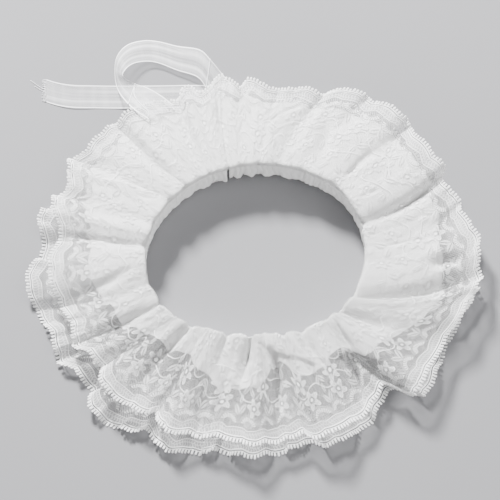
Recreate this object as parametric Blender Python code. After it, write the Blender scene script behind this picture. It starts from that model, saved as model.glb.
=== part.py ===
"""A white lace ruff collar, untied and laid open in a ring on a flat surface.

It has a gathered neck band, a lower frill of lace, and an upper frill of lace over a plain
lining. The frills are pleated together, so they share one table of folds. Two ribbons are sewn
to the band beside the opening. One lies straight out and the other falls in a loop.

Lengths in the tables are millimetres and angles are degrees. A turn is an angle about the
middle of the neck, clockwise seen from above, and 0 is the back of the neck.
"""
import math
from collections import namedtuple

import bpy
import numpy as np
from mathutils import Vector

MM = 0.001

# Neck band
BAND_HEIGHT = 19.0
BAND_WALL = 1.6
BAND_GATHERS = 44
BAND_GATHER_DEPTH = 0.8
BAND_SAMPLES_PER_GATHER = 3
BAND_LEVELS = (0.0, 0.5, 1.0)
BAND_GATHER_SHARES = (0.4, 1.0, 0.6)
BAND_START = -17.5
BAND_END = 338.0

# Frills
CLOTH_WALL = 1.0
LOWER_WALL = 1.2
LAYER_GAP = 0.3
LOWER_ROOT_OFFSET = 3.0
LOWER_ROOT_RISE = 9.0
LOWER_FALL_CURVE = 1.6
LOWER_FLAT_FROM = 0.86
LOWER_HUMP_SHARE = 0.55
LOWER_FLAT_SHARE = 0.53
UPPER_ROOT_OFFSET = 2.2
UPPER_ROOT_BULGE = 2.4
UPPER_ROOT_HEIGHT = 20.3
UPPER_EDGE_HEIGHT = 4.6
UPPER_FALL_CURVE = 1.15
NECK_HUMP_SHARE = 0.36
NECK_HUMP_STEEPNESS = 0.2
HUMP_GROWTH_CURVE = 0.8
FOLD_ROUNDNESS = 2.8
FOLD_SKEW = 0.45
SCALLOP_LENGTH = 17.5
SCALLOP_DEPTH = 1.6
SCALLOP_STEPS_PER_FOLD = 40

# The frills ride over the ribbons beside the opening at the back of the neck
OPENING_TURN = -15.0
RIBBON_LIFT = 4.6
LIFT_HALF_WIDTH = 20.0
LIFT_RAMP = 12.0
LIFT_GROWTH_CURVE = 0.5

# Where a fold's shape is read, as shares of its width
FOLD_SAMPLES = (0.0, 0.12, 0.32, 0.55, 0.78, 0.92)
CORNER_SHARE = 0.12

# Passes that even out a wall's direction across its creases, so that its faces stay apart
NORMAL_SMOOTHING = 2

# Creases sharper than this, in degrees, are shaded as edges
SHARP_CREASE = 50.0

# Rings of the frills, from the neck to the hem
LOWER_RINGS = (0.0, 0.35, 0.65, 0.88, 1.0)
LINING_RINGS = (0.0, 0.25, 0.6, 1.0)
LACE_RINGS_PAST_LINING = (0.5, 1.0)

# Ribbons
RIBBON_WIDTH = 17.5
RIBBON_WALL = 1.0

Neck = namedtuple("Neck", "turn radius")
NECK_LINE = (
    Neck(-20, 59.0),
    Neck(10, 60.0),
    Neck(35, 64.5),
    Neck(60, 72.0),
    Neck(90, 77.0),
    Neck(120, 78.5),
    Neck(150, 74.0),
    Neck(180, 69.0),
    Neck(205, 73.0),
    Neck(230, 80.0),
    Neck(255, 79.0),
    Neck(280, 72.5),
    Neck(305, 65.0),
    Neck(340, 59.0),
)

# A row for each fold, clockwise from the opening. neck and edge are the turns where it starts.
# height is how high it stands at the hem, and lean how far it leans over, clockwise if it is
# above 0, as a share of its height. start, middle and end are how far its hem is from the middle
# of the neck. lower_back and upper_back are how far each tier stays back from that, and lining
# is the share of the upper tier that the lining backs.
Fold = namedtuple("Fold", "neck edge height lean start middle end lower_back upper_back lining")
FOLDS = (
    Fold(-19.0, -10.5, 4.0, -0.1, 132.5, 127.0, 121.0, 3.0, 0.0, 0.80),
    Fold(-10.5, -3.2, 5.0, -0.3, 129.5, 124.5, 121.0, 5.0, 0.0, 0.80),
    Fold(2.0, 8.4, 7.0, 0.1, 121.5, 127.0, 126.5, 6.0, 0.0, 0.80),
    Fold(14.0, 22.6, 8.0, 0.1, 130.0, 138.5, 139.5, 8.0, 0.0, 0.75),
    Fold(30.0, 34.5, 10.0, 0.3, 139.5, 143.5, 144.5, 8.0, 0.0, 0.78),
    Fold(52.0, 47.2, 13.0, 0.7, 142.0, 142.5, 146.5, 7.0, 0.0, 0.80),
    Fold(79.0, 65.5, 8.0, 0.4, 139.0, 145.5, 147.5, 5.0, 0.0, 0.78),
    Fold(96.0, 77.0, 12.0, -0.1, 147.5, 158.0, 156.0, 3.0, 1.0, 0.68),
    Fold(122.0, 99.0, 14.0, -0.9, 161.0, 155.5, 151.0, 2.0, 0.0, 0.72),
    Fold(131.0, 118.0, 13.0, 0.9, 151.0, 157.5, 161.0, 0.0, 3.0, 0.50),
    Fold(139.5, 134.3, 6.0, 0.3, 137.0, 141.5, 149.0, 0.0, 3.0, 0.38),
    Fold(154.0, 148.0, 14.0, 0.6, 150.5, 153.5, 153.5, 0.0, 4.0, 0.45),
    Fold(164.0, 163.0, 6.0, 0.4, 145.0, 147.5, 149.5, 0.0, 4.0, 0.28),
    Fold(174.5, 173.0, 13.0, 0.0, 150.0, 154.5, 150.0, 0.0, 5.0, 0.50),
    Fold(182.0, 189.0, 6.0, 0.3, 149.5, 151.5, 154.0, 0.0, 7.0, 0.55),
    Fold(195.0, 194.8, 11.0, 0.5, 154.5, 161.5, 156.5, 0.0, 10.0, 0.40),
    Fold(206.0, 208.0, 8.0, -0.2, 151.0, 158.5, 161.5, 0.0, 13.0, 0.32),
    Fold(215.0, 217.5, 11.0, 0.6, 163.0, 165.0, 154.0, 0.0, 16.0, 0.32),
    Fold(224.0, 228.3, 10.0, 0.3, 152.5, 153.0, 160.0, 0.0, 13.0, 0.42),
    Fold(235.0, 240.7, 10.0, -0.4, 157.5, 154.5, 155.5, 0.0, 14.0, 0.50),
    Fold(247.0, 252.0, 14.0, 0.4, 158.5, 162.5, 151.0, 0.0, 17.0, 0.60),
    Fold(268.0, 270.0, 11.0, 0.9, 147.5, 153.5, 154.0, 0.0, 9.0, 0.66),
    Fold(282.0, 283.6, 8.0, 0.6, 141.5, 140.5, 149.5, 1.0, 0.0, 0.76),
    Fold(298.0, 296.9, 9.0, 0.2, 140.0, 139.0, 137.5, 4.0, 0.0, 0.80),
    Fold(311.0, 314.0, 8.0, -0.3, 135.5, 136.0, 133.0, 4.0, 0.0, 0.90),
    Fold(321.0, 326.0, 4.0, 0.1, 131.0, 127.0, 124.0, 4.0, 0.0, 0.85),
    Fold(328.0, 334.5, 3.0, -0.1, 124.5, 133.5, 131.0, 6.0, 0.0, 0.80),
    Fold(333.5, 341.0, 4.0, -0.1, 121.5, 127.0, 133.0, 6.0, 0.0, 0.80),
)
LAST_FOLD_NECK_END = 339.5
LAST_FOLD_EDGE_END = 348.6

# The straight ribbon lies on the surface. Its hidden start folds over itself under the frills.
TAIL_ROOT = (-30.6, 60.0)
TAIL_TURN = (-10.0, 119.7)
TAIL_FREE_END = (-148.0, 119.7)
TAIL_FLARE = 1.8
TAIL_FOLD_RADIUS = 0.65
TAIL_ROOT_HEIGHT = 6.0
TAIL_HIDDEN_SHARES = (0.45, 0.72)
TAIL_FOLD_SECTIONS = 7
TAIL_LONG_SECTIONS = 14
TAIL_LONG_START = 0.12
TAIL_FLARE_START = 0.9

# The looped ribbon, a row for each section from the band to its end on the frill.
# outer is the selvedge on the outside of the loop, and inner is the one towards its middle.
Section = namedtuple("Section", "outer_x outer_y outer_z inner_x inner_y inner_z")
LOOP_SECTIONS = (
    Section(24.0, 59.1, 5.5, 6.9, 63.4, 5.5),
    Section(9.0, 93.0, 3.4, -7.0, 86.0, 3.4),
    Section(-10.5, 120.0, 3.4, -26.0, 110.5, 3.4),
    Section(-21.0, 133.5, 3.5, -31.5, 116.5, 3.2),
    Section(-31.5, 145.0, 9.0, -34.5, 124.5, 4.5),
    Section(-39.5, 154.5, 5.0, -41.0, 133.5, 4.0),
    Section(-55.0, 158.5, 2.0, -55.0, 139.0, 3.0),
    Section(-69.0, 162.5, 1.2, -68.0, 144.5, 3.0),
    Section(-80.0, 163.0, 1.2, -77.0, 145.5, 4.0),
    Section(-91.0, 159.5, 1.2, -85.5, 142.0, 7.0),
    Section(-98.0, 150.5, 1.4, -90.5, 135.5, 11.0),
    Section(-99.5, 138.0, 2.2, -90.0, 128.5, 14.0),
    Section(-97.5, 124.5, 4.5, -84.5, 122.5, 15.0),
    Section(-92.0, 111.5, 13.5, -76.5, 117.5, 17.5),
    Section(-84.5, 101.5, 18.5, -66.5, 111.5, 18.0),
    Section(-75.0, 94.5, 19.5, -57.0, 104.5, 17.5),
)
LOOP_STEPS_PER_SECTION = 2

Look = namedtuple("Look", "red green blue roughness")
LOOKS = {
    "neck_band": Look(0.90, 0.90, 0.89, 0.80),
    "lower_lace": Look(0.86, 0.86, 0.86, 0.75),
    "lining": Look(0.92, 0.92, 0.91, 0.85),
    "upper_lace": Look(0.90, 0.90, 0.90, 0.75),
    "ribbon_tail": Look(0.78, 0.78, 0.80, 0.35),
    "ribbon_loop": Look(0.80, 0.80, 0.82, 0.35),
}


def clear_scene():
    for item in list(bpy.data.objects):
        bpy.data.objects.remove(item, do_unlink=True)


def smooth_through(places, knots, values):
    """A curve through the values at the knots, with no corners."""
    knots = np.asarray(knots, float)
    values = np.asarray(values, float)
    slopes = np.gradient(values, knots, axis=0)
    span = np.clip(np.searchsorted(knots, places, side="right") - 1, 0, len(knots) - 2)
    width = knots[span + 1] - knots[span]
    along = (places - knots[span]) / width
    if values.ndim > 1:
        width = width[:, None]
        along = along[:, None]
    square = along * along
    cube = square * along
    return (
        (2 * cube - 3 * square + 1) * values[span]
        + (cube - 2 * square + along) * width * slopes[span]
        + (3 * square - 2 * cube) * values[span + 1]
        + (cube - square) * width * slopes[span + 1]
    )


def neck_radius(turn):
    """How far the inner face of the band is from the middle of the neck."""
    turns = [row.turn for row in NECK_LINE]
    radii = [row.radius for row in NECK_LINE]
    return smooth_through(np.asarray(turn, float), turns, radii)


def fold_column(name):
    return np.array([getattr(fold, name) for fold in FOLDS], float)


def turn_at(place, name, last):
    """The turn, at the neck or at the edge, of a place counted in folds from the opening."""
    return np.interp(place, np.arange(len(FOLDS) + 1), np.append(fold_column(name), last))


def fold_middle_value(place, name):
    return np.interp(place, np.arange(len(FOLDS)) + 0.5, fold_column(name))


def hem_reach(place):
    """The hem's distance from the middle of the neck: a corner or a notch where folds meet."""
    start = fold_column("start")
    end = fold_column("end")
    knots = [0.0]
    reach = [start[0]]
    for number, fold in enumerate(FOLDS):
        if number > 0:
            knots.append(number)
            reach.append((end[number - 1] + start[number]) / 2)
        knots += [number + CORNER_SHARE, number + 0.5, number + 1 - CORNER_SHARE]
        reach += [fold.start, fold.middle, fold.end]
    knots.append(len(FOLDS))
    reach.append(end[-1])
    return np.interp(place, knots, reach)


def hump(place):
    """The shape of a fold across its width: a broad top, and a crease where it meets the next.

    A fold that leans over is highest towards the side that it leans to.
    """
    number = np.clip(np.floor(place).astype(int), 0, len(FOLDS) - 1)
    skew = np.exp(FOLD_SKEW * fold_column("lean")[number])
    across = np.abs(2 * (place - number) ** skew - 1)
    return 1 - across**FOLD_ROUNDNESS


def scallop(place):
    """How far the picot edge stands out, repeated along the hem."""
    turn = np.radians(turn_at(place, "edge", LAST_FOLD_EDGE_END))
    fine = np.linspace(0, len(FOLDS), SCALLOP_STEPS_PER_FOLD * len(FOLDS))
    fine_turn = np.radians(turn_at(fine, "edge", LAST_FOLD_EDGE_END))
    run = np.concatenate([[0.0], np.cumsum(np.diff(fine_turn) * hem_reach(fine)[1:])])
    along = np.interp(turn, fine_turn, run)
    return SCALLOP_DEPTH * np.abs(np.sin(np.pi * along / SCALLOP_LENGTH))


def ribbon_lift(turn):
    away = np.abs((turn - OPENING_TURN + 180) % 360 - 180)
    ramp = np.clip((LIFT_HALF_WIDTH + LIFT_RAMP - away) / LIFT_RAMP, 0, 1)
    return RIBBON_LIFT * ramp * ramp * (3 - 2 * ramp)


def lower_base(share, turn):
    """Height of the lower tier's upper face in its creases, which lie flat near the hem."""
    still_to_fall = np.clip(1 - share / LOWER_FLAT_FROM, 0, 1)
    fall = LOWER_ROOT_RISE * still_to_fall**LOWER_FALL_CURVE
    return LOWER_WALL + fall + ribbon_lift(turn) * share**LIFT_GROWTH_CURVE


def upper_base(share, turn):
    """Height of the lining's upper face in its creases."""
    fall = (UPPER_ROOT_HEIGHT - UPPER_EDGE_HEIGHT) * (1 - share) ** UPPER_FALL_CURVE
    return UPPER_EDGE_HEIGHT + fall + ribbon_lift(turn) * share**LIFT_GROWTH_CURVE


def laid_points(place, share, root, reach, height):
    """Points of a tier. Folds lean over by moving sideways as they rise, so none crosses another."""
    neck_turn = turn_at(place, "neck", LAST_FOLD_NECK_END)
    edge_turn = turn_at(place, "edge", LAST_FOLD_EDGE_END)
    turn = neck_turn + (edge_turn - neck_turn) * share
    radius = root + (reach - root) * share
    rise = height - lower_base(share, turn)
    lean = fold_middle_value(place, "lean") * share * rise / radius
    angle = np.radians(turn) + lean
    return np.stack([radius * np.sin(angle), radius * np.cos(angle), height], axis=-1)


def hump_height(place, share):
    """How high a fold stands: little at the neck, less where it is narrow, and most at the hem."""
    at_hem = fold_column("height")
    neck_turns = np.append(fold_column("neck"), LAST_FOLD_NECK_END)
    widths = np.radians(np.diff(neck_turns)) * neck_radius(neck_turns[:-1])
    at_neck = np.minimum(NECK_HUMP_SHARE * at_hem, NECK_HUMP_STEEPNESS * widths)
    middles = np.arange(len(FOLDS)) + 0.5
    low = np.interp(place, middles, at_neck)
    high = np.interp(place, middles, at_hem)
    return low + (high - low) * share**HUMP_GROWTH_CURVE


def lower_points(place, share):
    """Upper face of the lower lace, with flat creases that rest on the surface."""
    neck_turn = turn_at(place, "neck", LAST_FOLD_NECK_END)
    edge_turn = turn_at(place, "edge", LAST_FOLD_EDGE_END)
    turn = neck_turn + (edge_turn - neck_turn) * share
    raised = np.clip((hump(place) - LOWER_FLAT_SHARE) / (1 - LOWER_FLAT_SHARE), 0, 1)
    height = lower_base(share, turn) + LOWER_HUMP_SHARE * hump_height(place, share) * raised
    root = neck_radius(neck_turn) + LOWER_ROOT_OFFSET
    reach = hem_reach(place) + scallop(place) - fold_middle_value(place, "lower_back")
    return laid_points(place, share, root, reach, height)


def upper_points(place, share):
    """Upper face of the lining, which the upper lace follows and goes past."""
    neck_turn = turn_at(place, "neck", LAST_FOLD_NECK_END)
    edge_turn = turn_at(place, "edge", LAST_FOLD_EDGE_END)
    turn = neck_turn + (edge_turn - neck_turn) * share
    height = upper_base(share, turn) + hump_height(place, share) * hump(place)
    bulge = (UPPER_ROOT_OFFSET + UPPER_ROOT_BULGE) * hump(place)
    root = neck_radius(neck_turn) + UPPER_ROOT_OFFSET - bulge
    reach = hem_reach(place) + scallop(place) - fold_middle_value(place, "upper_back")
    return laid_points(place, share, root, reach, height)


def fold_places():
    """The places where the folds are read, in folds from the opening."""
    places = [number + share for number in range(len(FOLDS)) for share in FOLD_SAMPLES]
    return np.array(places + [len(FOLDS)], float)


def frill_grid(surface, shares):
    """A grid of points, a row for each place along the frill and a column for each ring."""
    places = fold_places()
    rows = np.repeat(places[:, None], shares.shape[1], axis=1)
    return surface(rows, shares)


def grid_normals(points):
    """Unit normals of a grid of points, on its upper side."""
    along = np.gradient(points, axis=0)
    across = np.gradient(points, axis=1)
    normals = np.cross(along, across)
    normals /= np.linalg.norm(normals, axis=2, keepdims=True)
    for _ in range(NORMAL_SMOOTHING):
        normals[1:-1] = normals[:-2] + 2 * normals[1:-1] + normals[2:]
        normals /= np.linalg.norm(normals, axis=2, keepdims=True)
    return normals


def grid_triangles(rows, columns, first, turned):
    """Triangles over a grid of vertices, all cut along the same diagonal."""
    triangles = []
    for row in range(rows - 1):
        for column in range(columns - 1):
            a = first + row * columns + column
            b = a + 1
            c = a + columns
            d = c + 1
            for triangle in ((a, d, b), (a, c, d)):
                triangles.append(triangle[::-1] if turned else triangle)
    return triangles


def rim_triangles(rows, columns):
    """Triangles round the edge of a wall, from its upper face to its lower one."""
    upper = [row * columns for row in range(rows)]
    upper += [(rows - 1) * columns + column for column in range(1, columns)]
    upper += [row * columns + columns - 1 for row in range(rows - 2, -1, -1)]
    upper += [column for column in range(columns - 2, 0, -1)]
    below = rows * columns
    triangles = []
    for number, a in enumerate(upper):
        b = upper[(number + 1) % len(upper)]
        triangles.append((a, b + below, b))
        triangles.append((a, a + below, b + below))
    return triangles


def wall_mesh(name, upper, lower):
    """A closed wall between two grids of points."""
    rows, columns = upper.shape[:2]
    vertices = np.concatenate([upper.reshape(-1, 3), lower.reshape(-1, 3)]) * MM
    triangles = grid_triangles(rows, columns, 0, False)
    triangles += grid_triangles(rows, columns, rows * columns, True)
    triangles += rim_triangles(rows, columns)
    mesh = bpy.data.meshes.new(name)
    mesh.from_pydata(vertices.tolist(), [], triangles)
    mesh.validate()
    mesh.shade_smooth()
    mesh.set_sharp_from_angle(angle=math.radians(SHARP_CREASE))
    return mesh


def add_piece(name, upper, lower):
    piece = bpy.data.objects.new(name, wall_mesh(name, upper, lower))
    bpy.context.scene.collection.objects.link(piece)
    look = LOOKS[name]
    material = bpy.data.materials.new(name)
    material.use_nodes = True
    shader = material.node_tree.nodes["Principled BSDF"]
    shader.inputs["Base Color"].default_value = (look.red, look.green, look.blue, 1.0)
    shader.inputs["Roughness"].default_value = look.roughness
    shader.inputs["Metallic"].default_value = 0.0
    piece.data.materials.append(material)
    return piece


def make_neck_band():
    """The upright band, gathered all along, with its ends at the opening."""
    count = BAND_GATHERS * BAND_SAMPLES_PER_GATHER
    turns = np.linspace(BAND_START, BAND_END, count + 1)
    phase = np.linspace(0, 2 * np.pi * BAND_GATHERS, count + 1)
    heights = np.array(BAND_LEVELS) * BAND_HEIGHT
    depths = np.array(BAND_GATHER_SHARES) * BAND_GATHER_DEPTH
    wave = np.sin(phase)[:, None] * depths[None, :]
    radius = neck_radius(turns)[:, None] + wave
    angle = np.radians(turns)[:, None]
    level = np.repeat(heights[None, :], count + 1, axis=0)

    def face(offset):
        outward = radius + offset
        return np.stack([outward * np.sin(angle), outward * np.cos(angle), level], axis=-1)

    return add_piece("neck_band", face(0.0), face(BAND_WALL))


def make_lower_lace():
    shares = np.repeat(np.array(LOWER_RINGS)[None, :], len(fold_places()), axis=0)
    upper = frill_grid(lower_points, shares)
    lower = upper - LOWER_WALL * grid_normals(upper)
    resting = lower[..., 2] < LAYER_GAP
    lower[..., 2] = np.where(resting, 0.0, lower[..., 2])
    return add_piece("lower_lace", upper, lower)


def upper_ring_shares():
    """Shares of the upper tier's depth: the lining's rings, then those of the lace past it."""
    lining = fold_middle_value(fold_places(), "lining")[:, None]
    backed = lining * np.array(LINING_RINGS)[None, :]
    past = lining + (1 - lining) * np.array(LACE_RINGS_PAST_LINING)[None, :]
    return backed, np.concatenate([backed, past], axis=1)


def make_upper_tier():
    """The lining and the lace on it, both made from the same points."""
    backed, whole = upper_ring_shares()
    points = frill_grid(upper_points, whole)
    normals = grid_normals(points)
    rings = backed.shape[1]
    under = points[:, :rings] - CLOTH_WALL * normals[:, :rings]
    lining = add_piece("lining", points[:, :rings], under)
    inner = points + LAYER_GAP * normals
    lace = add_piece("upper_lace", inner + CLOTH_WALL * normals, inner)
    return lining, lace


def ribbon_wall(name, left, right):
    """A ribbon's wall through its sections, each from the left selvedge to the right one."""
    points = np.stack([right, (left + right) / 2, left], axis=1)
    normals = grid_normals(points)
    upper = points + normals * RIBBON_WALL / 2
    lower = points - normals * RIBBON_WALL / 2
    lower[..., 2] = np.maximum(lower[..., 2], 0.0)
    return add_piece(name, upper, lower)


def make_ribbon_tail():
    """A ribbon that comes out under the frills, folds over flat, and lies straight to the left."""
    root = np.array(TAIL_ROOT)
    turn = np.array(TAIL_TURN)
    end = np.array(TAIL_FREE_END)
    arriving = (turn - root) / np.linalg.norm(turn - root)
    leaving = (end - turn) / np.linalg.norm(end - turn)
    crease = (arriving + leaving) / np.linalg.norm(arriving + leaving)
    outward = (arriving - leaving) / np.linalg.norm(arriving - leaving)
    half_crease = RIBBON_WIDTH / 2 / abs(arriving[0] * crease[1] - arriving[1] * crease[0])
    half_width = RIBBON_WIDTH / 2
    side = np.array([-arriving[1], arriving[0]])
    first_side = side if np.dot(side, crease) > 0 else -side
    last_side = np.array([0.0, 1.0])
    resting = RIBBON_WALL / 2
    upper_level = resting + 2 * TAIL_FOLD_RADIUS
    left = []
    right = []

    def add_section(middle, towards, half, level):
        left.append([*(middle + towards * half), level])
        right.append([*(middle - towards * half), level])

    add_section(root, first_side, half_width, TAIL_ROOT_HEIGHT)
    for share in TAIL_HIDDEN_SHARES:
        add_section(root + (turn - root) * share, first_side, half_width, upper_level)
    for step in range(TAIL_FOLD_SECTIONS):
        bend = math.pi * step / (TAIL_FOLD_SECTIONS - 1)
        middle = turn + outward * TAIL_FOLD_RADIUS * math.sin(bend)
        level = resting + TAIL_FOLD_RADIUS * (1 + math.cos(bend))
        add_section(middle, crease, half_crease, level)
    for step in range(1, TAIL_LONG_SECTIONS + 1):
        share = step / TAIL_LONG_SECTIONS
        middle = turn + (end - turn) * (TAIL_LONG_START + (1 - TAIL_LONG_START) * share)
        flare = TAIL_FLARE * max(0.0, share - TAIL_FLARE_START) / (1 - TAIL_FLARE_START)
        add_section(middle, last_side, half_width + flare, resting)
    return ribbon_wall("ribbon_tail", np.array(left), np.array(right))


def make_ribbon_loop():
    """A ribbon that comes out from under the frills and curls back round onto the top of them."""
    rows = np.array(LOOP_SECTIONS, float)
    knots = np.arange(len(rows))
    places = np.linspace(0, len(rows) - 1, (len(rows) - 1) * LOOP_STEPS_PER_SECTION + 1)
    smooth = smooth_through(places, knots, rows)
    return ribbon_wall("ribbon_loop", smooth[:, 3:], smooth[:, :3])


def stand_at_origin(pieces):
    """Moves the pieces so that the middle of their footprint is at the origin, on the surface."""
    corners = np.array([vertex.co for piece in pieces for vertex in piece.data.vertices])
    low = corners.min(axis=0)
    high = corners.max(axis=0)
    shift = Vector((-(low[0] + high[0]) / 2, -(low[1] + high[1]) / 2, -low[2]))
    for piece in pieces:
        for vertex in piece.data.vertices:
            vertex.co += shift


def main():
    clear_scene()
    pieces = [make_neck_band(), make_lower_lace(), *make_upper_tier()]
    pieces += [make_ribbon_tail(), make_ribbon_loop()]
    stand_at_origin(pieces)


main()
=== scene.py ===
import math
from collections import namedtuple

import bpy
import numpy as np
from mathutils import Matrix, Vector


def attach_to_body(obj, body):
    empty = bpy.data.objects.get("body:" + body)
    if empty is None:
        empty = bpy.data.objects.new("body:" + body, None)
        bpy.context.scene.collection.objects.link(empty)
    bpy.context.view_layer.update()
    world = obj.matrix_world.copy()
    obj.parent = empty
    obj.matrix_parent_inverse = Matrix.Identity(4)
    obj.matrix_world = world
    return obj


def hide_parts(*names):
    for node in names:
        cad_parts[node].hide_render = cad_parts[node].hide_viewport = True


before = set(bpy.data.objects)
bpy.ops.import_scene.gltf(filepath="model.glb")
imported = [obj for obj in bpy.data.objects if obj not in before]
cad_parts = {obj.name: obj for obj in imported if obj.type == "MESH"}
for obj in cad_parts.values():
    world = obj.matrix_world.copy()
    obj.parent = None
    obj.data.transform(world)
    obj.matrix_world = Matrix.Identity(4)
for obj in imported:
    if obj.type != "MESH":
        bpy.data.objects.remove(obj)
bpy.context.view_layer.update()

MM = 0.001

# The part is modelled about the middle of the neck. This moves it to the middle of its footprint.
MIDDLE_OF_NECK = np.array([0.302, -4.108, 0.0])

# Neck band
BAND_HEIGHT = 19.0
BAND_WALL = 1.6
BAND_START = -17.5
BAND_END = 340.6
BAND_GATHERS = 96
BAND_GATHER_DEPTH = 0.95
BAND_GATHER_DRIFT = 1.1
BAND_PUFFS = 34
BAND_PUFF_DEPTH = 1.0
BAND_HEM_WAVE = 0.9
BAND_STITCH = 2.1
BAND_STITCH_STEP = 3.2
STITCH_LEVELS = (4.0, 15.4)
STITCH_STANDS_OUT = 0.25
STITCH_DIPS = (0.35, 0.0, 0.0, 0.35)
STITCH_THREAD = 0.22

# Frills
LOWER_WALL = 1.2
LACE_LIFT = 0.7
LOWER_DROP = 1.0
LOWER_ROOT_OFFSET = 3.0
LOWER_ROOT_RISE = 9.0
LOWER_FALL_CURVE = 1.6
LOWER_FLAT_FROM = 0.86
LOWER_HUMP_SHARE = 0.55
LOWER_FLAT_SHARE = 0.53
UPPER_ROOT_OFFSET = 2.2
UPPER_ROOT_BULGE = 3.4
UPPER_ROOT_HEIGHT = 20.3
UPPER_EDGE_HEIGHT = 4.6
UPPER_FALL_CURVE = 1.15
NECK_HUMP_SHARE = 0.36
NECK_HUMP_STEEPNESS = 0.26
HUMP_GROWTH_CURVE = 0.8
FOLD_ROUNDNESS = 3.6
FOLD_SKEW = 0.45
SCALLOP_LENGTH = 17.5
SCALLOP_DEPTH = 1.6
OPENING_TURN = -15.0
RIBBON_LIFT = 4.6
LIFT_HALF_WIDTH = 20.0
LIFT_RAMP = 12.0
LIFT_GROWTH_CURVE = 0.5

# How finely the cloth is drawn
SAMPLES_PER_FOLD = 36
FRILL_RINGS = 34
HEM_SAMPLES_PER_FOLD = 60
HEM_SMOOTHING = 45
CORNER_SHARE = 0.12
STEP_SHARE = 0.06
SOFT_UP_TO = 0.25
SHARP_FROM = 0.75
CREASE_STRENGTH = 1.6
GATHERS_PER_FOLD = 5.2
GATHER_DEPTH = 0.14
GATHER_REACH = 0.10
FLUTTER_FROM = 0.6
SLOW_FLUTTER = 0.8
QUICK_FLUTTER = 0.35
TUCK_SHARE = 0.05
TUCK_DEPTH = 1.7
SHELF_STEEPNESS = 3.0
SHELF_REACH = 11.0

# The lace edging, from the tips of its loops inwards
PICOT_STEP = 2.5
PICOT_LENGTH = 2.9
PICOT_HALF_WIDTH = 0.38
PICOT_THREAD = 0.42
HEM_CORD_AT = 3.3
LACE_STARTS_AT = 4.8
HemCord = namedtuple("HemCord", "name inset thread")
HEM_CORDS = (HemCord("_hem_cord", HEM_CORD_AT, 0.45), HemCord("_edge_cord", LACE_STARTS_AT, 0.38))

# The lace's drawing. row is the distance from the tips of the loops, and repeat is along the hem.
NET_STEP = 2.9
NET_SLOPE = 0.8
BORDER_ROW = 9.6
BORDER_SWELL = 1.8
FAN_ROW = 12.5
FAN_RADIUS = 5.6
ARCH_RADIUS = 8.3
THREAD_COVER = 0.82
LEAST_COVER = 0.08
COTTON_THREAD_STEP = 0.7

Flower = namedtuple("Flower", "repeat offset row radius petals")
LACE_FLOWERS = (
    Flower(31, 0, 27, 7, 5),
    Flower(43, 17.5, 41, 8.5, 6),
    Flower(27, 8.75, 58, 6, 5),
    Flower(37, 3, 73, 6.5, 7),
)

Leaf = namedtuple("Leaf", "repeat offset row length width tilt")
LACE_LEAVES = (
    Leaf(31, 14, 24, 5.6, 2.3, 0.9),
    Leaf(31, 19.5, 24.5, 5.6, 2.3, 2.2),
    Leaf(31, 16.5, 32, 5, 2, 1.6),
    Leaf(43, 3, 38, 5.8, 2.4, 0.7),
    Leaf(43, -3.5, 39, 5.8, 2.4, 2.4),
    Leaf(43, 0, 47, 5, 2, 1.5),
    Leaf(27, -4, 53, 5, 2, 1.3),
    Leaf(27, -7, 65, 5.4, 2.2, 0.6),
    Leaf(37, -13, 69, 5.6, 2.3, 2),
    Leaf(37, -18, 77, 5, 2, 1.2),
)

Stem = namedtuple("Stem", "repeat row swing")
LACE_STEMS = (Stem(31.0, 34.0, 4.0), Stem(43.0, 50.0, 5.0))

RIBBON_WIDTH = 17.5
RIBBON_COLUMNS = 15
RIBBON_REST_HEIGHT = 0.35
LOOP_BOW = 0.35
LOOP_ROWS_PER_SECTION = 10
LOOP_THREAD = 0.34
FRAYED_ENDS = 26
FRAY_THREAD = 0.16
TAIL_ROOT = (-30.6, 60.0)
TAIL_TURN = (-10.0, 119.7)
TAIL_FREE_END = (-148.0, 119.7)
TAIL_END_RISE = 5.0
TAIL_END_SHARE = 0.2
TAIL_FOLD_RADIUS = 0.65
TAIL_ROOT_HEIGHT = 6.0

# The camera looks down at the collar from in front of it
CAMERA_ELEVATION = 68.0
CAMERA_DISTANCE = 4.0
FRAME_WIDTH = 0.350
FRAME_MIDDLE = np.array([-3.5, 3.02, 0.0])
SENSOR_WIDTH = 36.0
ROOM_LIGHT = 0.44
FLOOR_HALF_WIDTH = 3.0

Light = namedtuple("Light", "name x y z size power")
LIGHTS = (
    Light("key_light", -0.6, 1.6, 1.1, 0.4, 250),
    Light("fill_light", 1.3, 0.2, 1.5, 1.6, 24),
    Light("front_light", 0.2, -1.7, 0.9, 1.4, 13),
)

Neck = namedtuple("Neck", "turn radius")
NECK_LINE = (
    Neck(-20, 59),
    Neck(10, 60),
    Neck(35, 64.5),
    Neck(60, 72),
    Neck(90, 77),
    Neck(120, 78.5),
    Neck(150, 74),
    Neck(180, 69),
    Neck(205, 73),
    Neck(230, 80),
    Neck(255, 79),
    Neck(280, 72.5),
    Neck(305, 65),
    Neck(340, 59),
)

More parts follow.
